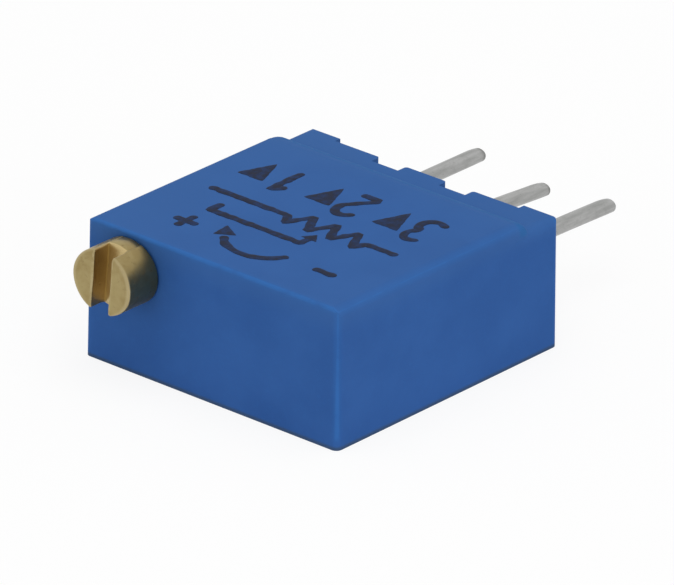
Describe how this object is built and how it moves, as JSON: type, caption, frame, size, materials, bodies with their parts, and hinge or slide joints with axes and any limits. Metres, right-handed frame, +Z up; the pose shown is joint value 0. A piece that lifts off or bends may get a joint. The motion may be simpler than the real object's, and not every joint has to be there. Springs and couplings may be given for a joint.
{
  "type": "trimmer potentiometer",
  "caption": "Square multi-turn trimmer potentiometer lying on its back, with a slotted brass adjusting screw at one side and a row of round terminals at the other.",
  "frame": {"origin": "bottom centre of the bounding box, on the plane of the back face that the part lies on", "axes": "+X across the row of terminals, away from the screw's side; +Y from the screw face to the terminals; +Z up, from the back face to the upper face"},
  "size_m": [0.0096, 0.016, 0.0043],
  "materials": {
    "housing": "fine matt moulding",
    "brass": "dull turned brass",
    "o_ring": "soft silicone rubber",
    "clip": "stamped spring steel",
    "wheel": "unfilled moulding",
    "wiper": "bright spring alloy",
    "ceramic": "sintered alumina",
    "resistor": "fired thick film",
    "conductor": "fired silver film",
    "tinned_wire": "matt tin plating",
    "solder": "reflowed solder",
    "resin": "cured epoxy"
  },
  "bodies": {
    "case": {"housing": "housing", "screw_clip": "clip", "ceramic_substrate": "ceramic", "resistive_track": "resistor", "collector_track": "conductor", "end_pad_1": "conductor", "end_pad_3": "conductor", "terminal_1": "tinned_wire", "terminal_2": "tinned_wire", "terminal_3": "tinned_wire", "solder_joint_1": "solder", "solder_joint_2": "solder", "solder_joint_3": "solder", "potting_resin": "resin"},
    "screw": {"adjusting_screw": "brass", "screw_o_ring": "o_ring"},
    "wheel": {"worm_wheel": "wheel", "wiper_contact": "wiper"}
  },
  "joints": [
    {"name": "screw_turn", "type": "hinge", "parent": "case", "child": "screw", "pos_m": [-0.00303, -0.00672, 0.0032], "axis": [0, 1, 0], "range_deg": [-3960, 3960]},
    {"name": "wheel_turn", "type": "hinge", "parent": "case", "child": "wheel", "pos_m": [0.00042, -0.00259, 0.0032], "axis": [0, 0, 1], "range_deg": [-141.5, 141.5]}
  ],
  "couplings": [
    {"joint": "wheel_turn", "follows": "screw_turn", "ratio": 0.035714}
  ]
}
